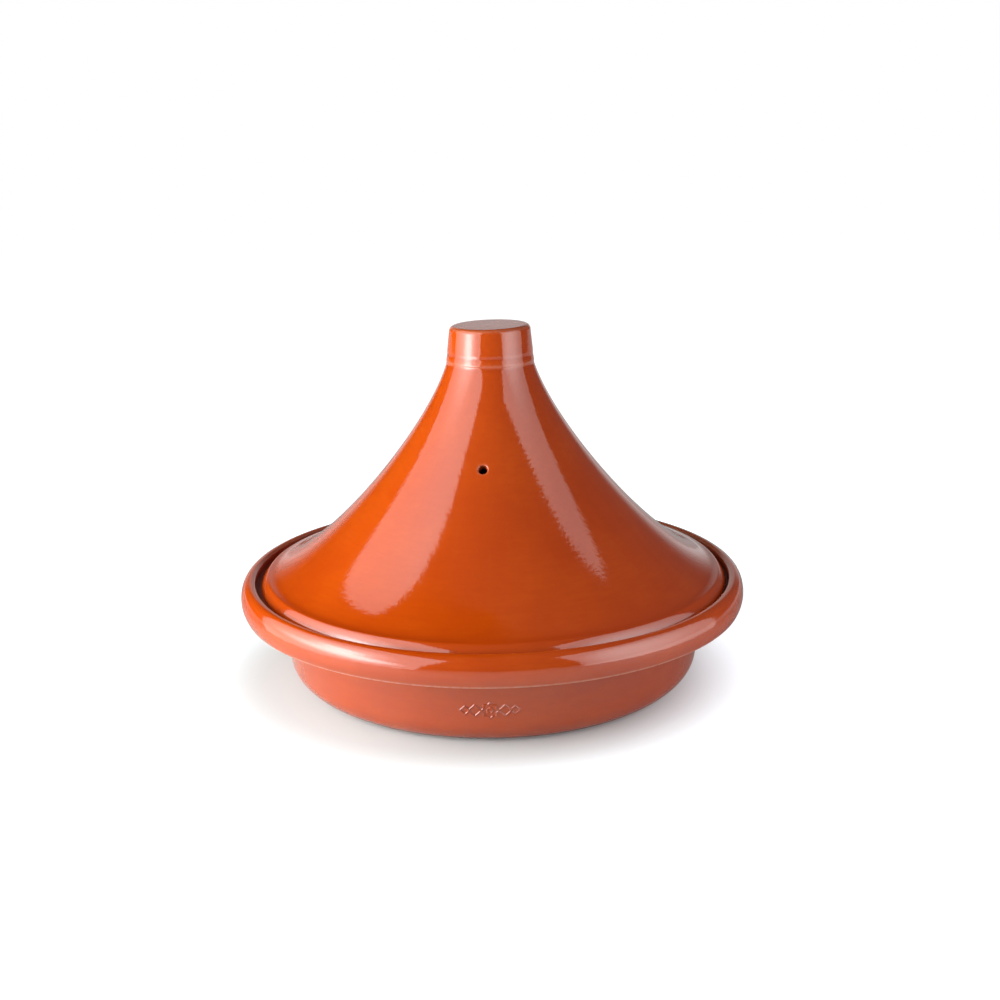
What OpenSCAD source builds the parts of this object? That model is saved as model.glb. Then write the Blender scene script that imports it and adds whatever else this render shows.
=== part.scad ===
// Tagine pot: a shallow glazed dish, and the tall conical lid that rests on the
// seat inside its rim. Each piece is turned clay, so each is one closed outline
// spun about the vertical axis. The origin is the centre of the dish's foot.

/* [Dish] */
// Outer diameter of the rim at its widest
rim_diameter = 320; // [308:2:336]
// Height of the rim's crest above the table
rim_height = 66; // [62:1:72]
// Height of the rim band, from its lower edge to the crest
band_height = 18; // [14:1:20]
// Diameter of the flat part of the foot
foot_diameter = 228; // [216:2:236]
// Radius of the heel between the foot and the wall
heel_radius = 17; // [12:1:20]
// Lean of the wall outward from vertical, in degrees
wall_lean = 8; // [5:1:10]
// Thickness of the dish's wall
wall_thickness = 8; // [6:0.5:9]
// Thickness of the dish's floor
floor_thickness = 9; // [7:0.5:12]

/* [Seat inside the rim] */
// Depth of the seat below the rim's crest
seat_depth = 6; // [5:0.5:8]
// Width of the rim's top, from its inner edge to its widest point
rim_width = 9.3; // [8:0.1:11]
// Width of the flat seat that the lid rests on
seat_width = 14; // [12:1:16]

/* [Lid] */
// Height of the knob's flat top above the table
total_height = 222.5; // [210:0.5:235]
// Gap all round between the lid's edge and the rim
edge_gap = 2.8; // [1:0.1:4]
// Roundness of the lip's face at the lid's edge
lip_face_radius = 16; // [10:0.5:20]
// Thickness of the lid's wall
lid_thickness = 7; // [5:0.5:8]
// Rise of the cone where it leaves the lip, in degrees above level
foot_rise = 19; // [14:1:24]
// Lean of the cone where it meets the knob, in degrees from vertical
neck_lean = 18; // [12:1:22]

/* [Knob] */
// Diameter of the knob just below its rounded top edge
knob_top_diameter = 50.2; // [44:0.2:52]
// Diameter of the knob where the cone begins
knob_base_diameter = 54.6; // [53:0.2:58]
// Height of the knob
knob_height = 24.5; // [22:0.5:27]
// Radius of the knob's top edge
knob_edge_radius = 3; // [1.5:0.1:4]

/* [Steam vent] */
// Diameter of the vent hole
vent_diameter = 5.5; // [4:0.5:8]
// Place of the vent along the cone's curve, from lip (0) to knob (1)
vent_place = 0.641; // [0.5:0.005:0.7]
// Direction that the vent faces, in degrees about the vertical axis
vent_azimuth = -95; // [-180:1:180]

/* [Hidden] */
$fn = 128;
glaze_color = [0.78, 0.26, 0.08];

// Heights and radii of the dish
rim_r = rim_diameter / 2;
foot_r = foot_diameter / 2;
band_z = rim_height - band_height;
band_edge_round = 0.8;       // softness of the band's lower edge
crest_height = 11;           // from the rim's widest point up to its crest
crest_reach = 6.5;           // from the rim's widest point in to its crest
rim_inner_r = rim_r - rim_width;
rim_inner_round = 1.6;       // drop from the crest to the rim's inner face
seat_z = rim_height - seat_depth;
seat_fillet = 1;             // corner between the seat and the rim's inner face
seat_inner_r = rim_inner_r - seat_width;
seat_nose = 2;               // rounding where the seat turns down into the bowl
neck_fillet = 5;             // hollow between the wall and the band's underside
bowl_fillet = 16;            // hollow between the floor and the wall, inside
shoulder_drop = 12;          // from the seat down to where the inner wall starts
recess_depth = 1.5;          // hollow under the foot
foot_ring_width = 9;         // flat ring that the dish stands on

// Heights and radii of the lid
lip_r = rim_inner_r - edge_gap;
lip_curl = 1.6;              // radius where the lip turns under
lip_corner = 2.5;            // radius where it turns in to the cone
lip_low = 24;                // the face's lean back from upright, at its lower end
lip_high = 47;               // and at its upper end, in degrees
lip_end = 92;
curl_center = [lip_r - lip_curl, seat_z + lip_curl];
face_center = curl_center - (lip_face_radius - lip_curl) * [cos(lip_low), sin(lip_low)];
corner_center = face_center + (lip_face_radius - lip_corner) * [cos(lip_high), sin(lip_high)];
valley = corner_center + [-1.3, lip_corner];
lid_ring_width = 7.5;        // flat ring under the lip that rests on the seat
neck = [knob_base_diameter / 2, total_height - knob_height];
foot_pull = 37;              // how far the cone keeps its rise at the lip
neck_pull = 43.5;            // how far the cone keeps its lean at the knob
crown_thickness = 9;         // clay left above the hollow inside the knob
ring_up = 2.2;               // height of the low ring above the neck
ring_radius = 2.6;
ring_sink = 2.45;            // how far the ring's centre lies inside the knob
groove_up = 6.4;             // height of the thin groove above the neck
groove_radius = 1;
groove_out = 0.8;            // how far the groove's centre lies outside the knob

// Points along an arc or a quarter ellipse, from angle a to angle b
function arc(center, radii, a, b, steps = 12) =
    [for (i = [0:steps]) let (t = a + (b - a) * i / steps)
        center + [radii[0] * cos(t), radii[1] * sin(t)]];

// Radius of the dish's outer wall at a height: it leaves the heel at its lean
heel_end = [foot_r + heel_radius * cos(wall_lean), heel_radius * (1 - sin(wall_lean))];
function wall_r(z) = heel_end[0] + (z - heel_end[1]) * tan(wall_lean);
function bowl_r(z) = wall_r(z) - wall_thickness / cos(wall_lean);

// The band's face is an arc that is upright at the rim's widest point
widest_z = rim_height - crest_height;
face_drop = widest_z - band_z - band_edge_round;
face_radius = 14;
face_angle = asin(face_drop / face_radius);
face_edge_r = rim_r - face_radius * (1 - cos(face_angle));

// The cone's curve: one cubic curve from the valley behind the lip to the neck
cone = [
    valley,
    valley + foot_pull * [-cos(foot_rise), sin(foot_rise)],
    neck + neck_pull * [sin(neck_lean), -cos(neck_lean)],
    neck
];
function cone_at(t) =
    pow(1 - t, 3) * cone[0] + 3 * pow(1 - t, 2) * t * cone[1]
    + 3 * (1 - t) * t * t * cone[2] + pow(t, 3) * cone[3];
function cone_heading(t) =
    pow(1 - t, 2) * (cone[1] - cone[0]) + 2 * (1 - t) * t * (cone[2] - cone[1])
    + t * t * (cone[3] - cone[2]);
// Unit vector out of the cone's surface, in the plane of the outline
function cone_normal(t) = let (d = cone_heading(t)) [d[1], -d[0]] / norm(d);
cone_steps = 48;

// Radius of the knob's tapered side at a height
knob_side_z = total_height - knob_edge_radius;
function knob_r(z) = neck[0]
    + (knob_top_diameter / 2 - neck[0]) * (z - neck[1]) / (knob_side_z - neck[1]);
ring_center = [knob_r(neck[1] + ring_up) - ring_sink, neck[1] + ring_up];
groove_center = [knob_r(neck[1] + groove_up) + groove_out, neck[1] + groove_up];

module dish() {
    neck_z = band_z - neck_fillet;
    shoulder_z = seat_z - shoulder_drop;
    bowl_fillet_z = floor_thickness + bowl_fillet;
    recess_r = foot_r - foot_ring_width;
    outline = concat(
        // under the foot, out round the heel and up the wall
        [[0, recess_depth], [recess_r, recess_depth], [recess_r + recess_depth, 0]],
        arc([foot_r, heel_radius], [heel_radius, heel_radius], -90, -wall_lean),
        // in under the band and up its face, over the crest
        arc([wall_r(neck_z) + neck_fillet, neck_z], [neck_fillet, neck_fillet], 180, 90, 6),
        arc([face_edge_r - band_edge_round, band_z + band_edge_round],
            [band_edge_round, band_edge_round], -90, -face_angle, 4),
        arc([rim_r - face_radius, widest_z], [face_radius, face_radius], -face_angle, 0, 8),
        arc([rim_r - crest_reach, widest_z], [crest_reach, crest_height], 0, 90),
        arc([rim_r - crest_reach, rim_height - rim_inner_round],
            [rim_width - crest_reach, rim_inner_round], 90, 180, 8),
        // down to the seat, over its nose and down the inner wall to the floor
        arc([rim_inner_r - seat_fillet, seat_z + seat_fillet],
            [seat_fillet, seat_fillet], 0, -90, 4),
        arc([seat_inner_r + seat_nose, seat_z - seat_nose], [seat_nose, seat_nose], 90, 150, 6),
        [[bowl_r(shoulder_z), shoulder_z]],
        arc([bowl_r(bowl_fillet_z) - bowl_fillet, bowl_fillet_z],
            [bowl_fillet, bowl_fillet], -wall_lean, -90),
        [[0, floor_thickness]]
    );
    color(glaze_color) rotate_extrude() polygon(outline);
}

module lid_blank() {
    hollow_top = total_height - crown_thickness;
    hollow_neck = neck - lid_thickness * cone_normal(1);
    outline = concat(
        // over the knob and down its side, past the groove and the raised ring
        [[0, total_height]],
        arc([knob_top_diameter / 2 - knob_edge_radius, knob_side_z],
            [knob_edge_radius, knob_edge_radius], 90, 0, 6),
        arc(groove_center, [groove_radius, groove_radius], 143, 217, 6),
        arc(ring_center, [ring_radius, ring_radius], 19, -19, 8),
        // down the cone, across the valley and round the lip
        [for (i = [cone_steps:-1:0]) cone_at(i / cone_steps)],
        arc(corner_center, [lip_corner, lip_corner], lip_end, lip_high, 8),
        arc(face_center, [lip_face_radius, lip_face_radius], lip_high, lip_low, 8),
        arc(curl_center, [lip_curl, lip_curl], lip_low, -90, 8),
        [[curl_center[0] - lid_ring_width, seat_z]],
        // up the inside, at the lid's thickness from the cone, to the knob's hollow
        [for (i = [0:cone_steps - 1])
            cone_at(i / cone_steps) - lid_thickness * cone_normal(i / cone_steps)],
        arc([0, hollow_neck[1]], [hollow_neck[0], hollow_top - hollow_neck[1]], 0, 90)
    );
    rotate_extrude() polygon(outline);
}

module lid() {
    vent_point = cone_at(vent_place);
    vent_normal = cone_normal(vent_place);
    vent_tilt = atan2(vent_normal[0], vent_normal[1]);
    vent_length = 4 * lid_thickness;
    color(glaze_color) difference() {
        lid_blank();
        // the vent is drilled square to the cone's surface
        rotate([0, 0, vent_azimuth]) translate([vent_point[0], 0, vent_point[1]])
            rotate([0, vent_tilt, 0])
                cylinder(h = vent_length, d = vent_diameter, center = true);
    }
}

dish();
lid();
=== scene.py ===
"""Looks of the tagine pot: a glazed earthenware dish and its conical lid.

Everything is in metres, in the part's own frame: Z is up, and the origin is the centre of the foot.
Each piece is one closed outline turned about the vertical axis, with the small unevenness of turned clay.
"""
import math

import bmesh
import bpy
import numpy as np
from mathutils import Matrix, Vector


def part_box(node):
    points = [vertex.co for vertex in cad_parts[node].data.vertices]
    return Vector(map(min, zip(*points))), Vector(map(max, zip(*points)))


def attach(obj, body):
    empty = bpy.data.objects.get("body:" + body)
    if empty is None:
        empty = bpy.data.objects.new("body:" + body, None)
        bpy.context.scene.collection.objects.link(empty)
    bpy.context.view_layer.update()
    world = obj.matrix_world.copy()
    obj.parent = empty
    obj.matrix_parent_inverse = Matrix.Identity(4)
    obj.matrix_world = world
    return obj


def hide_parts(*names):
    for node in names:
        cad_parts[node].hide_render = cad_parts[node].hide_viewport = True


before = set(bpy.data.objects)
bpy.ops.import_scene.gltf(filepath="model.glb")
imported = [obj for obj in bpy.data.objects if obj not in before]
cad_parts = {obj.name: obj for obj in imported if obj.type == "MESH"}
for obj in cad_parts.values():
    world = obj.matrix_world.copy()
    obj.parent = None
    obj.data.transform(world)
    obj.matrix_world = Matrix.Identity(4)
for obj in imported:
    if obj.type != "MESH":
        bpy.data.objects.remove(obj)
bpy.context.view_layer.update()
MM = 0.001


# ---------------------------------------------------------------- sizes, from the frame
_, dish_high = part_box("dish")
lid_low, lid_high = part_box("lid")

RIM_R = dish_high.x
RIM_HEIGHT = dish_high.z
SEAT_Z = lid_low.z
LIP_R = (lid_high.x - lid_low.x) / 2
TOTAL_HEIGHT = lid_high.z

# Dish
BAND_HEIGHT = 18 * MM           # the rim band, from its lower edge to the crest
BAND_Z = RIM_HEIGHT - BAND_HEIGHT
BAND_EDGE_ROUND = 0.5 * MM      # softness of the band's lower edge
FACE_RADIUS = 14 * MM           # roundness of the band's face below its widest point
CREST_HEIGHT = 11 * MM          # from the rim's widest point up to its crest
CREST_REACH = 6.5 * MM          # from the rim's widest point in to its crest
WIDEST_Z = RIM_HEIGHT - CREST_HEIGHT
RIM_WIDTH = 9.3 * MM            # from the widest point in to the rim's inner face
RIM_INNER_ROUND = 1.6 * MM
RIM_INNER_R = RIM_R - RIM_WIDTH
SEAT_FILLET = 1 * MM
SEAT_WIDTH = 14 * MM
SEAT_INNER_R = RIM_INNER_R - SEAT_WIDTH
SEAT_NOSE = 2 * MM              # rounding where the seat turns down into the bowl
FOOT_R = 114 * MM
HEEL_RADIUS = 17 * MM
WALL_LEAN = 8                   # degrees outward from vertical
WALL_THICKNESS = 8 * MM
FLOOR_THICKNESS = 9 * MM
NECK_FILLET = 5 * MM            # hollow between the wall and the band's underside
BOWL_FILLET = 16 * MM           # hollow between the floor and the wall, inside
SHOULDER_Z = SEAT_Z - 12 * MM   # where the straight inner wall starts
RECESS_DEPTH = 1.5 * MM         # hollow under the foot
FOOT_RING_WIDTH = 9 * MM        # flat ring that the dish stands on
FOOT_CORNER = 0.6 * MM          # softness of the corners under the foot
FOOT_EDGE_LIFT = 0.24 * MM      # height of the flat ring's softened inner edge
UNGLAZED_R = FOOT_R + 1 * MM    # the bare clay under the foot reaches out to here

# Lid
LIP_CURL = 1.6 * MM             # radius where the lip turns under
LIP_FACE = 16 * MM              # radius of the lip's face
LIP_CORNER = 2.5 * MM           # radius where it turns in to the cone
LIP_LOW = 24                    # degrees that the face leans back at its lower end
LIP_HIGH = 47                   # and at its upper end
LIP_END = 92                    # degrees where the corner's arc ends, just past its top
VALLEY_WIDTH = 1.3 * MM         # from the corner's centre in to the foot of the cone
LID_THICKNESS = 7 * MM
LID_RING_WIDTH = 7.5 * MM       # flat ring under the lip that rests on the seat
FOOT_RISE = math.radians(19)    # of the cone where it leaves the valley
NECK_LEAN = math.radians(18)    # of the cone where it meets the knob
FOOT_PULL = 37 * MM             # how far the cone keeps its rise
NECK_PULL = 43.5 * MM           # how far it keeps its lean
KNOB_HEIGHT = 24.5 * MM
KNOB_TOP_R = 25.1 * MM
KNOB_EDGE_RADIUS = 3 * MM
KNOB_SIDE_Z = TOTAL_HEIGHT - KNOB_EDGE_RADIUS
NECK = (27.3 * MM, TOTAL_HEIGHT - KNOB_HEIGHT)
CROWN_THICKNESS = 9 * MM        # clay left above the hollow inside the knob
RING_UP = 2.2 * MM              # height of the low ring above the neck
RING_RADIUS = 2.6 * MM
RING_SINK = 2.45 * MM           # how far the ring's centre lies inside the knob
RING_ARC = 19                   # half of the arc that stands out, in degrees
GROOVE_UP = 6.4 * MM            # height of the thin groove above the neck
GROOVE_RADIUS = 1 * MM
GROOVE_OUT = 0.8 * MM           # how far the groove's centre lies outside the knob
GROOVE_ARC = 37                 # half of the arc that cuts in, in degrees

# Where glaze fills a crease: how far it reaches, and how many times the crease is smoothed
SHOULDER_MELT = (7 * MM, 20)
VALLEY_MELT = (3 * MM, 8)
GROOVE_MELT = (2.2 * MM, 6)
RING_MELT = (3.4 * MM, 8)

# Vent, drilled square to the cone
VENT_RADIUS = 2.75 * MM
VENT_PLACE = 0.641              # along the cone's curve, from lip (0) to knob (1)
VENT_AZIMUTH = -95              # degrees about the vertical axis
VENT_EDGE_ROUND = 0.8 * MM

# Handmade unevenness
LID_SHIFT = 0.9 * MM            # the lid lies this far off centre in its seat
KNOB_TOP_TILT = math.radians(1.3)
WAVE_DEPTH = 0.12 * MM
# Each slow wave of the turned clay: lobes once round, share, phase, and twist for each metre along the clay
WAVES = ((2, 1, 0.7, 0), (3, 0.6, 2.1, 8), (5, 0.35, 4.2, -14))
LID_WAVE_TWIST = 6              # the lid's waves twist this much faster than the dish's

# Mesh fineness
CONE_STEPS = 168                # rows of faces up the cone
LID_COLUMNS = 360
DISH_COLUMNS = 300
MOTIF_COLUMNS = 150
MOTIF_SPAN = 20                 # degrees of the wall that the fine columns cover
VENT_BLOCK_STEPS = 5            # half the block of faces that makes way for the vent, along the cone
VENT_BLOCK_COLUMNS = 6          # and across it
VENT_EDGE_STEPS = 7
VENT_SHARES = (0.4, 0.75)       # how round the rings between the block's edge and the vent are
STRAIGHT_STEP = 2 * MM
WALL_STEP = 0.35 * MM
KNOB_STEP = 0.7 * MM
LIP_STEP = 1 * MM

# Pressed motif on the front of the wall
MOTIF_AZIMUTH = -90.7
MOTIF_Z = 23.7 * MM
MOTIF_DEPTH = 0.65 * MM
MOTIF_LINE = 0.55 * MM          # half the width of its raised lines
STARS = (3.6 * MM, 1.3 * MM)    # half widths of the two stars, one inside the other
LOZENGES = ((8.6 * MM, 2.6 * MM), (14.2 * MM, 1.9 * MM))    # distance from the stars' middle, and half width


# ---------------------------------------------------------------- outlines
def arc(center, radii, start, end, steps=12):
    """Points along an arc or a quarter ellipse, between two angles in degrees."""
    angles = np.radians(np.linspace(start, end, steps + 1))
    across = center[0] + radii[0] * np.cos(angles)
    up = center[1] + radii[1] * np.sin(angles)
    return np.column_stack([across, up])


def fill_gaps(points, longest=STRAIGHT_STEP):
    """The same outline, with extra points so that no two neighbours lie further apart than longest."""
    points = np.asarray(points, float)
    filled = [points[:1]]
    for start, end in zip(points, points[1:]):
        count = max(1, math.ceil(math.dist(start, end) / longest))
        shares = np.arange(1, count + 1)[:, None] / count
        filled.append(start + shares * (end - start))
    return np.concatenate(filled)


def soften(points, place, reach, passes):
    """The same outline with the stretch within reach of a place smoothed, as glaze fills a crease."""
    points = points.copy()
    away = np.hypot(*(points - place).T)
    weight = np.clip(1 - away / reach, 0, 1)[1:-1, None]
    for _ in range(passes):
        middle = (points[:-2] + points[2:]) / 2
        points[1:-1] += weight * (middle - points[1:-1])
    return points


def wall_r(z):
    """Radius of the dish's outer wall at a height."""
    lean = math.radians(WALL_LEAN)
    heel_r = FOOT_R + HEEL_RADIUS * math.cos(lean)
    heel_z = HEEL_RADIUS * (1 - math.sin(lean))
    return heel_r + (z - heel_z) * math.tan(lean)


def bowl_r(z):
    """Radius of the dish's inner wall at a height."""
    return wall_r(z) - WALL_THICKNESS / math.cos(math.radians(WALL_LEAN))


def foot_outline():
    """Under the foot: the shallow recess and the flat ring, up to the heel."""
    recess_r = FOOT_R - FOOT_RING_WIDTH
    ring_r = recess_r + RECESS_DEPTH
    corners = [
        (0, RECESS_DEPTH),
        (recess_r - FOOT_CORNER, RECESS_DEPTH),
        (recess_r + FOOT_CORNER, RECESS_DEPTH - FOOT_CORNER),
        (ring_r - FOOT_CORNER, FOOT_EDGE_LIFT),
        (ring_r + FOOT_CORNER, 0),
        (FOOT_R, 0),
    ]
    return fill_gaps(corners)[:-1]


def rim_outline():
    """The rim band, from its lower edge over its crest to the foot of its inner face."""
    face_angle = math.degrees(math.asin((WIDEST_Z - BAND_Z - BAND_EDGE_ROUND) / FACE_RADIUS))
    edge_r = RIM_R - FACE_RADIUS * (1 - math.cos(math.radians(face_angle)))
    edge = (edge_r - BAND_EDGE_ROUND, BAND_Z + BAND_EDGE_ROUND)
    crest_r = RIM_R - CREST_REACH
    inner_round = (RIM_WIDTH - CREST_REACH, RIM_INNER_ROUND)
    return np.concatenate([
        arc(edge, (BAND_EDGE_ROUND,) * 2, -90, -face_angle, 6),
        arc((RIM_R - FACE_RADIUS, WIDEST_Z), (FACE_RADIUS,) * 2, -face_angle, 0, 12)[1:],
        arc((crest_r, WIDEST_Z), (CREST_REACH, CREST_HEIGHT), 0, 90, 30)[1:],
        arc((crest_r, RIM_HEIGHT - RIM_INNER_ROUND), inner_round, 90, 180, 10)[1:],
    ])


def dish_outline():
    """The dish's outline, from the middle of its underside round to the middle of its floor."""
    neck_z = BAND_Z - NECK_FILLET
    neck_r = wall_r(neck_z)
    floor_z = FLOOR_THICKNESS + BOWL_FILLET
    heel = arc((FOOT_R, HEEL_RADIUS), (HEEL_RADIUS,) * 2, -90, -WALL_LEAN, 24)
    neck = arc((neck_r + NECK_FILLET, neck_z), (NECK_FILLET,) * 2, 180, 90, 12)
    seat_corner = (RIM_INNER_R - SEAT_FILLET, SEAT_Z + SEAT_FILLET)
    seat_end = (SEAT_INNER_R + SEAT_NOSE, SEAT_Z - SEAT_NOSE)
    bowl_center = (bowl_r(floor_z) - BOWL_FILLET, floor_z)
    over_rim = np.concatenate([
        neck,
        rim_outline(),
        arc(seat_corner, (SEAT_FILLET,) * 2, 0, -90, 6),
        arc(seat_end, (SEAT_NOSE,) * 2, 90, 150, 8),
        [(bowl_r(SHOULDER_Z), SHOULDER_Z)],
        arc(bowl_center, (BOWL_FILLET,) * 2, -WALL_LEAN, -90, 20),
        [(0, FLOOR_THICKNESS)],
    ])
    outline = np.concatenate([
        foot_outline(),
        heel,
        fill_gaps([heel[-1], neck[0]], WALL_STEP)[1:-1],
        fill_gaps(over_rim),
    ])
    return soften(outline, (bowl_r(SHOULDER_Z), SHOULDER_Z), *SHOULDER_MELT)


def lip_centers():
    """Centres of the lip's three arcs: where it curls under, its face and its upper corner."""
    low, high = np.radians(LIP_LOW), np.radians(LIP_HIGH)
    curl = np.array([LIP_R - LIP_CURL, SEAT_Z + LIP_CURL])
    face = curl - (LIP_FACE - LIP_CURL) * np.array([np.cos(low), np.sin(low)])
    corner = face + (LIP_FACE - LIP_CORNER) * np.array([np.cos(high), np.sin(high)])
    return curl, face, corner


CURL_CENTER, FACE_CENTER, CORNER_CENTER = lip_centers()
VALLEY = (CORNER_CENTER[0] - VALLEY_WIDTH, CORNER_CENTER[1] + LIP_CORNER)
CONE = np.array([
    VALLEY,
    (VALLEY[0] - FOOT_PULL * math.cos(FOOT_RISE), VALLEY[1] + FOOT_PULL * math.sin(FOOT_RISE)),
    (NECK[0] + NECK_PULL * math.sin(NECK_LEAN), NECK[1] - NECK_PULL * math.cos(NECK_LEAN)),
    NECK,
])


def cone_at(place):
    """Points of the cone's curve, one cubic curve from the lip (0) to the knob (1)."""
    t = np.asarray(place, float)[..., None]
    lower = (1 - t) ** 3 * CONE[0] + 3 * (1 - t) ** 2 * t * CONE[1]
    return lower + 3 * (1 - t) * t**2 * CONE[2] + t**3 * CONE[3]


def cone_heading(place):
    """How the cone's curve moves on as its place grows, in metres for the whole curve."""
    t = np.asarray(place, float)[..., None]
    first, second, third = np.diff(CONE, axis=0)
    return 3 * ((1 - t) ** 2 * first + 2 * (1 - t) * t * second + t**2 * third)


def cone_normal(place):
    """Unit direction out of the cone's surface, in the plane of the outline."""
    heading = cone_heading(place)
    out = np.stack([heading[..., 1], -heading[..., 0]], axis=-1)
    return out / np.linalg.norm(out, axis=-1, keepdims=True)


def knob_r(z):
    """Radius of the knob's tapered side at a height."""
    return NECK[0] + (KNOB_TOP_R - NECK[0]) * (z - NECK[1]) / (KNOB_SIDE_Z - NECK[1])


def knob_outline():
    """Over the knob's top and down its side, past the groove and the raised ring."""
    groove_z = NECK[1] + GROOVE_UP
    ring_z = NECK[1] + RING_UP
    groove = (knob_r(groove_z) + GROOVE_OUT, groove_z)
    ring = (knob_r(ring_z) - RING_SINK, ring_z)
    side = fill_gaps(np.concatenate([
        [(0, TOTAL_HEIGHT)],
        arc((KNOB_TOP_R - KNOB_EDGE_RADIUS, KNOB_SIDE_Z), (KNOB_EDGE_RADIUS,) * 2, 90, 0, 8),
        arc(groove, (GROOVE_RADIUS,) * 2, 180 - GROOVE_ARC, 180 + GROOVE_ARC, 6),
        arc(ring, (RING_RADIUS,) * 2, RING_ARC, -RING_ARC, 8),
    ]), KNOB_STEP)
    side = soften(side, (knob_r(groove_z), groove_z), *GROOVE_MELT)
    return soften(side, (knob_r(ring_z), ring_z), *RING_MELT)


def lip_outline():
    """Out of the valley, round the lip and in along the flat ring under it."""
    return fill_gaps(np.concatenate([
        arc(CORNER_CENTER, (LIP_CORNER,) * 2, LIP_END, LIP_HIGH, 8),
        arc(FACE_CENTER, (LIP_FACE,) * 2, LIP_HIGH, LIP_LOW, 16)[1:],
        arc(CURL_CENTER, (LIP_CURL,) * 2, LIP_LOW, -90, 12)[1:],
        [(CURL_CENTER[0] - LID_RING_WIDTH, SEAT_Z)],
    ]), LIP_STEP)


def hollow_outline():
    """The hollow inside the knob, up to the lid's axis."""
    side_r, side_z = cone_at(1) - LID_THICKNESS * cone_normal(1)
    top = TOTAL_HEIGHT - CROWN_THICKNESS
    return arc((0, side_z), (side_r, top - side_z), 0, 90, 14)


def lid_outline():
    """The lid's outline, from the top of its knob round to the top of its hollow.

    The second value is the row of the ring at the top of the outer cone, and the third the row of the ring
    at the foot of the inner one. Rows are counted from the first ring off the axis.
    """
    knob, lip = knob_outline(), lip_outline()
    places = np.arange(CONE_STEPS + 1) / CONE_STEPS
    inside = cone_at(places[:-1]) - LID_THICKNESS * cone_normal(places[:-1])
    outline = np.concatenate([knob, cone_at(places[::-1]), lip, inside, hollow_outline()])
    outer_start = len(knob) - 1
    inner_start = outer_start + CONE_STEPS + 1 + len(lip)
    return soften(outline, VALLEY, *VALLEY_MELT), outer_start, inner_start


# ---------------------------------------------------------------- unevenness of turned clay
def wave(azimuth, along):
    """A slow, smooth unevenness, never above zero, so that no point leaves the outline outward."""
    a = np.radians(azimuth)
    swell = sum(share * np.cos(lobes * a + phase + twist * along) for lobes, share, phase, twist in WAVES)
    highest = sum(share for _, share, _, _ in WAVES)
    return WAVE_DEPTH * (swell - highest) / highest


def star(across, up, size):
    """Signed distance to an eight-pointed star of two crossed squares, below zero inside it."""
    square = np.maximum(abs(across), abs(up)) - size
    turned = (abs(across) + abs(up)) / math.sqrt(2) - size
    return np.minimum(square, turned)


def motif(azimuth, z):
    """Height of the motif on the wall: stars between two pairs of lozenges, as thin raised lines."""
    across = np.radians(azimuth - MOTIF_AZIMUTH) * wall_r(MOTIF_Z)
    up = z - MOTIF_Z
    shapes = [star(across, up, size) for size in STARS]
    for middle, size in LOZENGES:
        shapes.append((abs(abs(across) - middle) + abs(up)) / math.sqrt(2) - size)
    line = np.min([abs(shape) for shape in shapes], axis=0)
    share = np.clip(1 - line / MOTIF_LINE, 0, 1)
    return MOTIF_DEPTH * share * share * (3 - 2 * share)


def place_dish(azimuth, radius, z):
    """Points of the dish, from azimuths in degrees and outline points."""
    azimuth, radius, z = np.broadcast_arrays(azimuth, radius, z)
    at_wall = (z > HEEL_RADIUS) & (z < BAND_Z - NECK_FILLET)
    outer_wall = at_wall & (radius > wall_r(z) - WALL_THICKNESS / 2)
    out = radius + np.where(radius > FOOT_R / 2, wave(azimuth, z), 0)
    out = out + np.where(outer_wall, motif(azimuth, z), 0)
    a = np.radians(azimuth)
    return np.stack([out * np.cos(a), out * np.sin(a), z], axis=-1)


def place_lid(azimuth, radius, z):
    """Points of the lid, from azimuths in degrees and outline points."""
    azimuth, radius, z = np.broadcast_arrays(azimuth, radius, z)
    a = np.radians(azimuth)
    below_knob = np.clip(radius / KNOB_TOP_R - 1, 0, 1)
    out = radius + wave(azimuth, LID_WAVE_TWIST * (TOTAL_HEIGHT - z)) * below_knob
    x = out * np.cos(a)
    y = out * np.sin(a)
    groove_z = NECK[1] + GROOVE_UP
    on_top = np.clip((z - groove_z) / (TOTAL_HEIGHT - groove_z), 0, 1)
    sag = (KNOB_TOP_R - x) * math.tan(KNOB_TOP_TILT) * on_top**2
    return np.stack([x + LID_SHIFT, y, z - sag], axis=-1)


# ---------------------------------------------------------------- meshes
def ring_grid(rows, columns):
    """Faces between neighbouring rings of points, as a (rows - 1, columns, 4) array of point numbers."""
    row = np.arange(rows - 1)[:, None] * columns
    here = np.arange(columns)
    beside = (here + 1) % columns
    return np.stack([row + here, row + beside, row + columns + beside, row + columns + here], axis=-1)


def fan(pole, ring):
    """Faces from one point on the axis to the ring round it."""
    return [(pole, a, b) for a, b in zip(ring, np.roll(ring, -1))]


def near(points, place, reach):
    """1 at a place of the outline, fading to 0 within about reach of it."""
    away = np.hypot(points[:, 0] - place[0], points[:, 1] - place[1])
    return np.exp(-((away / reach) ** 2))


def build(name, points, faces, glazing, materials, bare=None):
    """One closed mesh object, with how thin, how pooled and how matt its glaze is at each point; on the dish
    the thin value also carries a painted highlight along the band's lower edge.

    bare says which of its faces take the second material.
    """
    mesh = bpy.data.meshes.new(name)
    mesh.from_pydata([tuple(p) for p in points], [], [tuple(int(i) for i in f) for f in faces])
    for attribute, values in glazing.items():
        layer = mesh.attributes.new(attribute, "FLOAT", "POINT")
        layer.data.foreach_set("value", np.asarray(values, np.float32))
    for material in materials:
        mesh.materials.append(material)
    if bare is not None:
        mesh.polygons.foreach_set("material_index", bare(mesh).astype(np.int32))
    mesh.polygons.foreach_set("use_smooth", np.ones(len(mesh.polygons), bool))
    work = bmesh.new()
    work.from_mesh(mesh)
    bmesh.ops.recalc_face_normals(work, faces=work.faces)
    work.to_mesh(mesh)
    work.free()
    mesh.update()
    piece = bpy.data.objects.new(name, mesh)
    bpy.context.scene.collection.objects.link(piece)
    return piece


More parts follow.
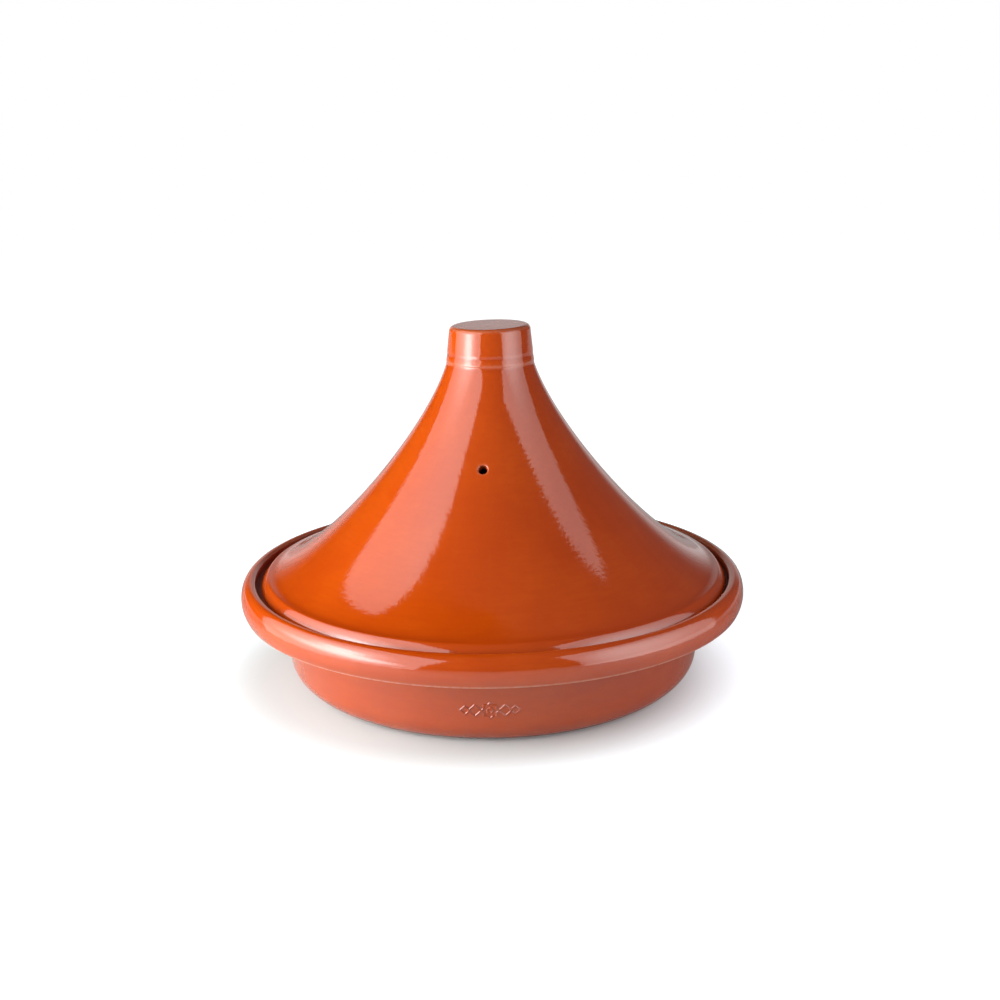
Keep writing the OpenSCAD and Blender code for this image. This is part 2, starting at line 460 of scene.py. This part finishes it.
def under_foot(mesh):
    """Which faces lie under the foot and stay unglazed."""
    centers = np.zeros(len(mesh.polygons) * 3, np.float32)
    mesh.polygons.foreach_get("center", centers)
    centers = centers.reshape(-1, 3)
    radius = np.hypot(centers[:, 0], centers[:, 1])
    return (centers[:, 2] < FLOOR_THICKNESS / 2) & (radius < UNGLAZED_R)


def dish_columns():
    """Azimuths of the dish's columns of points, closer together across the motif."""
    low = MOTIF_AZIMUTH - MOTIF_SPAN / 2
    fine = low + MOTIF_SPAN * np.arange(MOTIF_COLUMNS) / MOTIF_COLUMNS
    coarse = low + MOTIF_SPAN + (360 - MOTIF_SPAN) * np.arange(DISH_COLUMNS) / DISH_COLUMNS
    return np.concatenate([fine, coarse])


def dish_glazing(rings):
    """How thin, pooled and matt the glaze is on each ring of the dish, from 0 to 1. Along the band's lower
    edge the thin value is partly a painted highlight.
    """
    radius, z = rings.T
    # the pale line along the band's lower edge is partly thin glaze and partly a painted highlight where
    # that edge catches the light
    band_edge_thin_glaze_and_highlight = near(rings, (RIM_R - 1.6 * MM, BAND_Z + 0.3 * MM), 0.7 * MM)
    inner_edge = near(rings, (RIM_INNER_R + 0.6 * MM, RIM_HEIGHT - 1 * MM), 1.1 * MM)
    seat_edge = near(rings, (SEAT_INNER_R + 0.6 * MM, SEAT_Z - 0.6 * MM), 1.5 * MM)
    under_band = near(rings, (wall_r(BAND_Z) + 1.4 * MM, BAND_Z - 1.4 * MM), 3 * MM)
    seat_corner = near(rings, (RIM_INNER_R, SEAT_Z), 2 * MM)
    on_seat = (radius > SEAT_INNER_R) & (radius < RIM_INNER_R + 0.1 * MM)
    return {
        "thin": np.max([band_edge_thin_glaze_and_highlight, 0.7 * inner_edge, 0.5 * seat_edge], axis=0),
        "pool": np.maximum(under_band, seat_corner),
        "matt": on_seat & (z > SEAT_Z - SEAT_NOSE) & (z < RIM_HEIGHT - 2 * MM),
    }


def make_dish(glaze, clay):
    """The dish: its outline turned, with finer columns of points across the motif."""
    outline = dish_outline()
    columns = dish_columns()
    rings = outline[1:-1]
    points = place_dish(columns[None, :], rings[:, :1], rings[:, 1:]).reshape(-1, 3)
    poles = [(0, 0, outline[0, 1]), (0, 0, outline[-1, 1])]
    count = len(points)
    faces = list(ring_grid(len(rings), len(columns)).reshape(-1, 4))
    first_ring = np.arange(len(columns))
    last_ring = first_ring + count - len(columns)
    faces += fan(count, first_ring) + fan(count + 1, last_ring)
    points = np.concatenate([points, poles])
    glazing = {
        name: np.append(np.repeat(values, len(columns)), [0, 0])
        for name, values in dish_glazing(rings).items()
    }
    return build("dish_glazed", points, faces, glazing, [glaze, clay], under_foot)


def lid_glazing(rings):
    """How thin, pooled and matt the glaze is on each ring of the lid, from 0 to 1."""
    groove_z = NECK[1] + GROOVE_UP
    top_edge = near(rings, (KNOB_TOP_R - 0.4 * MM, TOTAL_HEIGHT - 0.5 * MM), 1.2 * MM)
    raised_ring = near(rings, (knob_r(NECK[1]) + 0.6 * MM, NECK[1] + RING_UP), 1.2 * MM)
    valley = near(rings, VALLEY, 4 * MM)
    groove = near(rings, (knob_r(groove_z), groove_z), 1.2 * MM)
    neck = near(rings, NECK, 1.6 * MM)
    return {
        "thin": np.maximum(0.45 * top_edge, 0.3 * raised_ring),
        "pool": np.max([valley, groove, neck], axis=0),
        "matt": rings[:, 1] < SEAT_Z + 0.1 * MM,
    }


def vent_glazing(depth):
    """The same at each depth down the vent."""
    stations = [0, VENT_EDGE_ROUND, LID_THICKNESS]
    return {
        "thin": np.interp(depth, stations, [0.15, 0.25, 0.1]),
        "pool": np.interp(depth, stations, [0, 0.6, 0]),
        "matt": np.zeros(len(depth)),
    }


def vent_profile():
    """(radius, depth) down the vent: over its rounded mouth, through the wall and out at the inside."""
    mouth = np.radians(np.linspace(0, 90, VENT_EDGE_STEPS))
    radius = VENT_RADIUS + VENT_EDGE_ROUND * (1 - np.sin(mouth))
    depth = VENT_EDGE_ROUND * (1 - np.cos(mouth))
    middle = np.linspace(0.25, 0.75, 4) * LID_THICKNESS
    return np.concatenate([
        np.column_stack([radius, depth]),
        np.column_stack([np.full(len(middle), VENT_RADIUS), middle]),
        np.column_stack([radius, LID_THICKNESS - depth])[::-1],
    ])


def block_edge(steps, columns):
    """The edge of a block of faces, once round, as (step along the cone, column across it)."""
    edge = [(steps[0], column) for column in columns[:-1]]
    edge += [(step, columns[-1]) for step in steps[:-1]]
    edge += [(steps[-1], column) for column in columns[:0:-1]]
    edge += [(step, columns[0]) for step in steps[:0:-1]]
    return np.array(edge)


def vent_rings(edge):
    """Rings of points from the block's edge outside, down through the vent, to the block's edge inside."""
    length = np.linalg.norm(cone_heading(VENT_PLACE))
    across = np.radians(edge[:, 1] * 360 / LID_COLUMNS) * cone_at(VENT_PLACE)[0]
    along = (edge[:, 0] / CONE_STEPS - VENT_PLACE) * length
    turn = np.arctan2(along, across)

    def ring(radius, depth, share):
        """Share 0 is the block's edge, and share 1 a circle of that radius."""
        u = (1 - share) * across + share * radius * np.cos(turn)
        v = (1 - share) * along + share * radius * np.sin(turn)
        place = VENT_PLACE + v / length
        spot = cone_at(place) - depth * cone_normal(place)
        azimuth = VENT_AZIMUTH + np.degrees(u / cone_at(place)[:, 0])
        return place_lid(azimuth, spot[:, 0], spot[:, 1])

    mouth_r = VENT_RADIUS + VENT_EDGE_ROUND
    rings = [ring(mouth_r, 0, share) for share in VENT_SHARES]
    rings += [ring(radius, depth, 1) for radius, depth in vent_profile()]
    rings += [ring(mouth_r, LID_THICKNESS, share) for share in reversed(VENT_SHARES)]
    return rings


def make_lid(glaze):
    """The lid: its outline turned, with a block of faces outside and inside opened up for the vent."""
    outline, outer_start, inner_start = lid_outline()
    columns = VENT_AZIMUTH + np.arange(LID_COLUMNS) * 360 / LID_COLUMNS
    rings = outline[1:-1]
    points = place_lid(columns[None, :], rings[:, :1], rings[:, 1:]).reshape(-1, 3)
    grid = ring_grid(len(rings), LID_COLUMNS)

    # leave out a block of faces round the vent, the same outside and inside
    steps = round(VENT_PLACE * CONE_STEPS) + np.arange(-VENT_BLOCK_STEPS, VENT_BLOCK_STEPS + 1)
    sideways = np.arange(-VENT_BLOCK_COLUMNS, VENT_BLOCK_COLUMNS + 1)
    keep = np.ones(grid.shape[:2], bool)
    outer_rows = outer_start + CONE_STEPS - steps[1:]
    inner_rows = inner_start + steps[:-1]
    for rows in (outer_rows, inner_rows):
        keep[np.ix_(rows, sideways[:-1] % LID_COLUMNS)] = False
    faces = list(grid[keep])

    # join the edges of the two blocks by rings down through the vent
    edge = block_edge(steps, sideways)
    around = len(edge)
    column = edge[:, 1] % LID_COLUMNS
    vent = vent_rings(edge)
    loops = [(outer_start + CONE_STEPS - edge[:, 0]) * LID_COLUMNS + column]
    loops += [len(points) + number * around + np.arange(around) for number in range(len(vent))]
    loops.append((inner_start + edge[:, 0]) * LID_COLUMNS + column)
    for one, other in zip(loops, loops[1:]):
        faces += list(np.stack([one, np.roll(one, -1), np.roll(other, -1), other], axis=-1))
    points = np.concatenate([points, *vent])

    # close both ends of the outline on the axis
    pole = len(points)
    first_ring = np.arange(LID_COLUMNS)
    last_ring = first_ring + (len(rings) - 1) * LID_COLUMNS
    faces += fan(pole, first_ring) + fan(pole + 1, last_ring)
    poles = [place_lid(0, 0, TOTAL_HEIGHT), place_lid(0, 0, outline[-1, 1])]
    points = np.concatenate([points, poles])

    in_vent = vent_glazing(vent_profile()[:, 1])
    beside_vent = np.zeros(2 * around)
    glazing = {
        name: np.concatenate([
            np.repeat(values, LID_COLUMNS), beside_vent,
            np.repeat(in_vent[name], around), beside_vent, [0, 0],
        ])
        for name, values in lid_glazing(rings).items()
    }
    return build("lid_glazed", points, faces, glazing, [glaze])


# ---------------------------------------------------------------- materials
class Nodes:
    """A short way to write a node tree."""

    def __init__(self, tree):
        self.tree = tree
        tree.nodes.clear()

    def add(self, kind, inputs=None, **settings):
        """A new node. Inputs are named or numbered, and each is a value or another node's output."""
        node = self.tree.nodes.new(kind)
        for name, value in settings.items():
            setattr(node, name, value)
        for name, value in (inputs or {}).items():
            if isinstance(value, bpy.types.NodeSocket):
                self.tree.links.new(value, node.inputs[name])
            else:
                node.inputs[name].default_value = value
        return node

    def math(self, operation, *values):
        return self.add("ShaderNodeMath", dict(enumerate(values)), operation=operation).outputs[0]

    def vector_math(self, operation, *values):
        node = self.add("ShaderNodeVectorMath", dict(enumerate(values)), operation=operation)
        return node.outputs["Value" if operation in ("LENGTH", "DOT_PRODUCT") else "Vector"]

    def noise(self, vector, scale, detail=2.0, roughness=0.5):
        inputs = {"Vector": vector, "Scale": scale, "Detail": detail, "Roughness": roughness}
        return self.add("ShaderNodeTexNoise", inputs).outputs["Fac"]

    def ramp(self, value, low, high, to_low=0.0, to_high=1.0):
        """value eased from [low, high] to [to_low, to_high], and held outside it."""
        inputs = {"Value": value, "From Min": low, "From Max": high, "To Min": to_low, "To Max": to_high}
        return self.add("ShaderNodeMapRange", inputs, interpolation_type="SMOOTHSTEP").outputs["Result"]

    def mix(self, factor, first, second):
        """A mix of two colours. Each may be a colour or another node's output."""
        node = self.add("ShaderNodeMix", {"Factor": factor}, data_type="RGBA")
        for socket, value in ((node.inputs[6], first), (node.inputs[7], second)):
            if isinstance(value, bpy.types.NodeSocket):
                self.tree.links.new(value, socket)
            else:
                socket.default_value = (*value, 1)
        return node.outputs[2]

    def number_mix(self, factor, first, second):
        return self.add("ShaderNodeMix", {0: factor, 2: first, 3: second}, data_type="FLOAT").outputs[0]

    def bump(self, height, distance, normal=None):
        inputs = {"Height": height, "Distance": distance, "Strength": 1.0}
        if normal is not None:
            inputs["Normal"] = normal
        return self.add("ShaderNodeBump", inputs).outputs["Normal"]


TURN_RADIUS = 0.03              # turning marks vary round the pot as over a ring of this radius


def turned_coordinates(nodes):
    """(place on the object, place along the turning marks), both vectors in metres."""
    place = nodes.add("ShaderNodeTexCoord").outputs["Object"]
    flat = nodes.vector_math("MULTIPLY", place, (1, 1, 0))
    radius = nodes.vector_math("LENGTH", flat)
    direction = nodes.vector_math("NORMALIZE", flat)
    height = nodes.add("ShaderNodeSeparateXYZ", {0: place}).outputs["Z"]
    outward = nodes.add("ShaderNodeCombineXYZ", {"Z": nodes.math("SUBTRACT", radius, height)})
    stretched = nodes.vector_math("MULTIPLY", direction, (TURN_RADIUS, TURN_RADIUS, 0))
    return place, nodes.vector_math("ADD", stretched, outward.outputs[0])


GLAZE = (0.345, 0.0375, 0.0010)
GLAZE_DEEP = (0.295, 0.0275, 0.0007)
GLAZE_WARM = (0.38, 0.0480, 0.0015)
# the pale colour where the glaze is thin, which along the dish's band edge also serves as a painted
# highlight
GLAZE_THIN_AND_HIGHLIGHT = (0.45, 0.170, 0.100)
SPECK = (0.13, 0.024, 0.008)
GLAZE_IOR = 1.7
RIPPLE_HEIGHT = 0.022 * MM      # slow unevenness of the glaze
PEEL_HEIGHT = 0.045 * MM        # its orange peel
COMB_HEIGHT = 0.015 * MM        # turning marks that show through it
SPECK_HEIGHT = 0.03 * MM


def glaze_material():
    """Glossy orange glaze over red clay, with clouds, turning marks, pale edges and specks; the pale line
    along the dish's band edge is partly a painted highlight.
    """
    material = bpy.data.materials.new("orange_glaze")
    material.use_nodes = True
    nodes = Nodes(material.node_tree)
    place, turned = turned_coordinates(nodes)
    thin = nodes.add("ShaderNodeAttribute", attribute_name="thin").outputs["Fac"]
    pool = nodes.add("ShaderNodeAttribute", attribute_name="pool").outputs["Fac"]

    # colour through the depth of the glaze
    clouds = nodes.noise(place, 22, 4, 0.55)
    marks = nodes.noise(turned, 260, 3, 0.6)
    grains = nodes.noise(place, 900, 2, 0.6)
    colour = nodes.mix(nodes.ramp(clouds, 0.32, 0.68), GLAZE_DEEP, GLAZE_WARM)
    colour = nodes.mix(0.55, colour, GLAZE)
    colour = nodes.mix(nodes.ramp(marks, 0.3, 0.7, 0, 0.35), colour, GLAZE_DEEP)
    colour = nodes.mix(nodes.ramp(grains, 0.3, 0.75, 0, 0.12), colour, GLAZE_WARM)
    colour = nodes.mix(nodes.math("MULTIPLY", pool, 0.6), colour, GLAZE_DEEP)

    # a dark speck in the middle of a few cells
    cells = nodes.add("ShaderNodeTexVoronoi", {"Vector": place, "Scale": 90.0, "Randomness": 1.0})
    lot = nodes.add("ShaderNodeSeparateXYZ", {0: cells.outputs["Color"]}).outputs["X"]
    rare = nodes.ramp(lot, 0.78, 0.80)
    dot = nodes.ramp(cells.outputs["Distance"], 0.02, 0.035, 1, 0)
    speck = nodes.math("MULTIPLY", dot, rare)
    colour = nodes.mix(nodes.math("MULTIPLY", speck, 0.5), colour, SPECK)

    # pale clay showing through where the glaze is thin; along the dish's band edge this pale line is partly
    # a painted highlight
    broken = nodes.ramp(nodes.noise(place, 400, 2), 0.25, 0.6, 0.55, 1)
    edge = nodes.math("MULTIPLY", thin, broken)
    colour = nodes.mix(edge, colour, GLAZE_THIN_AND_HIGHLIGHT)

    roughness = nodes.ramp(nodes.noise(place, 120, 3), 0.3, 0.7, 0.055, 0.085)
    roughness = nodes.math("ADD", roughness, nodes.math("MULTIPLY", edge, 0.12))
    matt = nodes.add("ShaderNodeAttribute", attribute_name="matt").outputs["Fac"]
    roughness = nodes.math("ADD", roughness, nodes.math("MULTIPLY", matt, 0.5))

    ripple = nodes.noise(place, 130, 1, 0.4)
    peel = nodes.noise(place, 400, 1, 0.4)
    comb = nodes.noise(turned, 620, 2, 0.5)
    normal = nodes.bump(ripple, RIPPLE_HEIGHT)
    normal = nodes.bump(peel, PEEL_HEIGHT, normal)
    normal = nodes.bump(comb, COMB_HEIGHT, normal)
    normal = nodes.bump(speck, SPECK_HEIGHT, normal)

    shader = nodes.add("ShaderNodeBsdfPrincipled", {
        "Base Color": colour,
        "Roughness": roughness,
        "IOR": GLAZE_IOR,
        "Normal": normal,
    })
    nodes.add("ShaderNodeOutputMaterial", {"Surface": shader.outputs[0]})
    return material


CLAY = (0.40, 0.150, 0.070)
CLAY_PALE = (0.52, 0.235, 0.130)
CLAY_GRIT = (0.20, 0.070, 0.035)
CLAY_IOR = 1.45
MARK_HEIGHT = 0.12 * MM
GRIT_HEIGHT = 0.06 * MM


def clay_material():
    """Bare red earthenware under the foot: matt, gritty, with turning marks."""
    material = bpy.data.materials.new("bare_clay")
    material.use_nodes = True
    nodes = Nodes(material.node_tree)
    place, turned = turned_coordinates(nodes)
    clouds = nodes.noise(place, 30, 5, 0.6)
    marks = nodes.noise(turned, 420, 3, 0.6)
    grit = nodes.noise(place, 1500, 2, 0.6)
    colour = nodes.mix(nodes.ramp(clouds, 0.3, 0.7), CLAY, CLAY_PALE)
    colour = nodes.mix(nodes.ramp(marks, 0.45, 0.75, 0, 0.5), colour, CLAY_PALE)
    colour = nodes.mix(nodes.ramp(grit, 0.62, 0.74, 0, 0.7), colour, CLAY_GRIT)
    normal = nodes.bump(marks, MARK_HEIGHT)
    normal = nodes.bump(grit, GRIT_HEIGHT, normal)
    roughness = nodes.ramp(grit, 0.3, 0.7, 0.82, 0.95)
    shader = nodes.add("ShaderNodeBsdfPrincipled", {
        "Base Color": colour,
        "Roughness": roughness,
        "IOR": CLAY_IOR,
        "Normal": normal,
    })
    nodes.add("ShaderNodeOutputMaterial", {"Surface": shader.outputs[0]})
    return material


# ---------------------------------------------------------------- studio
FLOOR_HALF = 3.0
TABLE_CENTER = (-0.02, -0.01, 0.0)    # of the part of the table that keeps its shade
TABLE_NEAR = 0.12               # the table brightens to the camera from this distance
TABLE_FAR = 0.20                # to this one
TABLE_LIFT = (0.07, 0.95)       # its own light at the one and at the other
TABLE_LIGHT = (0.95, 0.98, 1.03, 1)
TABLE_DARK = (0.54, 0.54, 0.54)
TABLE_PALE = (0.56, 0.56, 0.56)
SWEEP_NEAR = 0.30               # and from here
SWEEP_FAR = 0.75                # to here it turns into an evenly lit sweep
SWEEP_WHITE = 1.15              # radiance of the sweep to the camera
SWEEP_FRONT = 0.66              # what the glaze mirrors of the sweep in front
SWEEP_BEHIND = 0.50             # and behind
SWEEP_BLEND = 0.3               # half the depth over which the one turns into the other


def floor_material():
    """A plain white table that turns into an evenly lit sweep."""
    material = bpy.data.materials.new("floor_white")
    material.use_nodes = True
    nodes = Nodes(material.node_tree)
    place = nodes.add("ShaderNodeTexCoord").outputs["Object"]
    away = nodes.vector_math("LENGTH", place)
    to_camera = nodes.add("ShaderNodeLightPath").outputs["Is Camera Ray"]
    tone = nodes.mix(nodes.ramp(nodes.noise(place, 6, 2), 0.3, 0.7), TABLE_DARK, TABLE_PALE)
    off_center = nodes.vector_math("LENGTH", nodes.vector_math("SUBTRACT", place, TABLE_CENTER))
    lift = nodes.ramp(off_center, TABLE_NEAR, TABLE_FAR, *TABLE_LIFT)
    table = nodes.add("ShaderNodeBsdfPrincipled", {
        "Base Color": tone,
        "Roughness": 0.6,
        "Emission Color": TABLE_LIGHT,
        "Emission Strength": nodes.math("MULTIPLY", lift, to_camera),
    })
    y = nodes.add("ShaderNodeSeparateXYZ", {0: place}).outputs["Y"]
    mirrored = nodes.ramp(y, -SWEEP_BLEND, SWEEP_BLEND, SWEEP_FRONT, SWEEP_BEHIND)
    glow = nodes.number_mix(to_camera, mirrored, SWEEP_WHITE)
    sweep = nodes.add("ShaderNodeEmission", {"Strength": glow})
    both = nodes.add("ShaderNodeMixShader", {
        0: nodes.ramp(away, SWEEP_NEAR, SWEEP_FAR),
        1: table.outputs[0],
        2: sweep.outputs[0],
    })
    nodes.add("ShaderNodeOutputMaterial", {"Surface": both.outputs[0]})
    return material


def make_floor():
    """The table and the sweep, as one square."""
    mesh = bpy.data.meshes.new("floor")
    corners = [(-FLOOR_HALF, -FLOOR_HALF, 0), (FLOOR_HALF, -FLOOR_HALF, 0)]
    corners += [(FLOOR_HALF, FLOOR_HALF, 0), (-FLOOR_HALF, FLOOR_HALF, 0)]
    mesh.from_pydata(corners, [], [(0, 1, 2, 3)])
    mesh.materials.append(floor_material())
    floor = bpy.data.objects.new("floor", mesh)
    bpy.context.scene.collection.objects.link(floor)


PANEL_SIDE = 0.4                # distance of each softbox from the middle
PANEL_POWER = 4                 # of its light, in watts for each square metre
PANEL_FADE = 0.35               # a softbox dims over this distance towards its back edge
PANEL_EDGE = 0.02               # and at its edges over this one
LEFT_CORNERS = [(-0.72, 0), (-0.95, 0.50), (-1.06, 1.03), (0.15, 0.69), (0.155, 0.33), (0.05, 0)]
LEFT_RADIANCE = (1.1, 1.80)
LEFT_GLOWS = [
    (-0.25, 0.25, 0.35, 0.30, 2.1),
    (-0.32, 0.12, 0.36, 0.09, 5.0),
    (-0.25, 0.22, 0.16, 0.10, 4.6),
]
RIGHT_CORNERS = [(-0.60, 0), (-0.70, 0.45), (-0.69, 0.875), (0.03, 0.53), (0.03, 0)]
RIGHT_RADIANCE = (0.85, 1.30)
RIGHT_GLOWS = [(-0.30, 0.22, 0.35, 0.38, 1.35)]


def make_panel(name, side, corners, radiance, glows):
    """An upright softbox standing at one side and facing the object.

    corners are (y, z), from the foot of its front edge up and over to the foot of its back edge.
    radiance is at its back edge and towards the front. Each glow is an ellipse that adds light:
    (y, z, reach along y, reach along z, radiance).
    """
    back, front = max(y for y, _ in corners), min(y for y, _ in corners)
    height = max(z for _, z in corners)
    light = bpy.data.lights.new(name, "AREA")
    light.shape = "RECTANGLE"
    light.size = back - front
    light.size_y = height
    light.energy = PANEL_POWER * light.size * light.size_y
    light.use_nodes = True
    nodes = Nodes(light.node_tree)
    spot = nodes.add("ShaderNodeNewGeometry").outputs["Position"]
    depth = nodes.add("ShaderNodeSeparateXYZ", {0: spot}).outputs["Y"]
    strength = nodes.ramp(depth, back - PANEL_FADE, back, radiance[1], radiance[0])
    for y, z, along, up, extra in glows:
        offset = nodes.vector_math("SUBTRACT", spot, (side, y, z))
        offset = nodes.vector_math("MULTIPLY", offset, (1, 1 / along, 1 / up))
        glow = nodes.ramp(nodes.vector_math("LENGTH", offset), 0.15, 1, extra, 0)
        strength = nodes.math("ADD", strength, glow)
    for (y0, z0), (y1, z1) in zip(corners, corners[1:]):
        inward = Vector((0, z1 - z0, y0 - y1)).normalized()
        offset = nodes.vector_math("SUBTRACT", spot, (side, y0, z0))
        inside = nodes.vector_math("DOT_PRODUCT", offset, inward)
        strength = nodes.math("MULTIPLY", strength, nodes.ramp(inside, 0, PANEL_EDGE))
    emission = nodes.add("ShaderNodeEmission", {"Strength": strength})
    nodes.add("ShaderNodeOutputLight", {"Surface": emission.outputs[0]})
    panel = bpy.data.objects.new(name, light)
    panel.location = (side, (back + front) / 2, height / 2)
    panel.rotation_mode = "QUATERNION"
    panel.rotation_quaternion = Vector((-side, 0, 0)).to_track_quat("-Z", "Y")
    panel.visible_camera = False
    bpy.context.scene.collection.objects.link(panel)


ROOM_LEFT = 0.01                # radiance of the dark room to the left
ROOM_RIGHT = 0.11               # to the right
ROOM_FRONT = 0.11               # and in front
FILL_LEFT = (6.8, 9.6, 9.0)     # soft light that only matt colour picks up, from the left
FILL = (0.06, 0.05, 0.06)       # and from everywhere else
WALL_LOW = 0.9                  # the wall straight behind the object, at the floor
WALL_HIGH = 0.5                 # and further up


def make_world():
    """White to the camera; to the object a dark room with a pale wall straight behind it."""
    world = bpy.data.worlds.new("studio")
    bpy.context.scene.world = world
    world.use_nodes = True
    nodes = Nodes(world.node_tree)
    # across is 1 to the right, facing is 1 straight behind the object, and height is 1 overhead
    direction = nodes.add("ShaderNodeTexCoord").outputs["Generated"]
    level = nodes.vector_math("NORMALIZE", nodes.vector_math("MULTIPLY", direction, (1, 1, 0)))
    across, facing, _ = nodes.add("ShaderNodeSeparateXYZ", {0: level}).outputs
    sideways, _, height = nodes.add("ShaderNodeSeparateXYZ", {0: direction}).outputs
    low = nodes.ramp(height, 0, 0.34, WALL_LOW, 0)
    low = nodes.math("MULTIPLY", nodes.ramp(facing, 0.84, 0.98), low)
    high = nodes.ramp(height, 0.16, 0.30, 0, WALL_HIGH)
    high = nodes.math("MULTIPLY", nodes.ramp(facing, 0.91, 0.99), high)
    high = nodes.math("MULTIPLY", high, nodes.ramp(height, 0.34, 0.46, 1, 0))
    front = nodes.ramp(facing, -0.8, 0.4, ROOM_FRONT, 0)
    sides = nodes.ramp(across, -0.2, 0.6, ROOM_LEFT, ROOM_RIGHT)
    room = nodes.math("MAXIMUM", front, sides)
    room = nodes.math("ADD", room, nodes.math("ADD", low, high))
    ray = nodes.add("ShaderNodeLightPath").outputs
    low_left = nodes.ramp(height, 0.2, 0.7, 1, 0)
    low_left = nodes.math("MULTIPLY", nodes.ramp(sideways, -0.4, -1), low_left)
    fill = nodes.mix(low_left, FILL, FILL_LEFT)
    colour = nodes.mix(ray["Is Diffuse Ray"], room, fill)
    colour = nodes.mix(ray["Is Camera Ray"], colour, (1, 1, 1))
    background = nodes.add("ShaderNodeBackground", {"Color": colour, "Strength": 1})
    nodes.add("ShaderNodeOutputWorld", {"Surface": background.outputs[0]})


CAMERA_PLACE = (0.0057, -0.8508, 0.3430)
CAMERA_PITCH = 15.32            # degrees down from level
CAMERA_ROLL = -0.81             # degrees
CAMERA_LENS = 49.94             # millimetres
CAMERA_SENSOR = 36              # millimetres


def make_camera():
    """Looks at the front of the object from a little above."""
    camera = bpy.data.objects.new("camera", bpy.data.cameras.new("camera"))
    camera.data.lens = CAMERA_LENS
    camera.data.sensor_width = CAMERA_SENSOR
    look = Matrix.Rotation(math.radians(90 - CAMERA_PITCH), 4, "X")
    roll = Matrix.Rotation(math.radians(CAMERA_ROLL), 4, "Z")
    camera.matrix_world = Matrix.Translation(CAMERA_PLACE) @ look @ roll
    bpy.context.scene.collection.objects.link(camera)
    bpy.context.scene.camera = camera


# ---------------------------------------------------------------- the scene
glaze = glaze_material()
dish = make_dish(glaze, clay_material())
lid = make_lid(glaze)
for piece, node in ((dish, "dish"), (lid, "lid")):
    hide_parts(node)
    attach(piece, node)

make_floor()
make_panel("panel_left", -PANEL_SIDE, LEFT_CORNERS, LEFT_RADIANCE, LEFT_GLOWS)
make_panel("panel_right", PANEL_SIDE, RIGHT_CORNERS, RIGHT_RADIANCE, RIGHT_GLOWS)
make_world()
make_camera()
bpy.context.scene.view_settings.view_transform = "Standard"
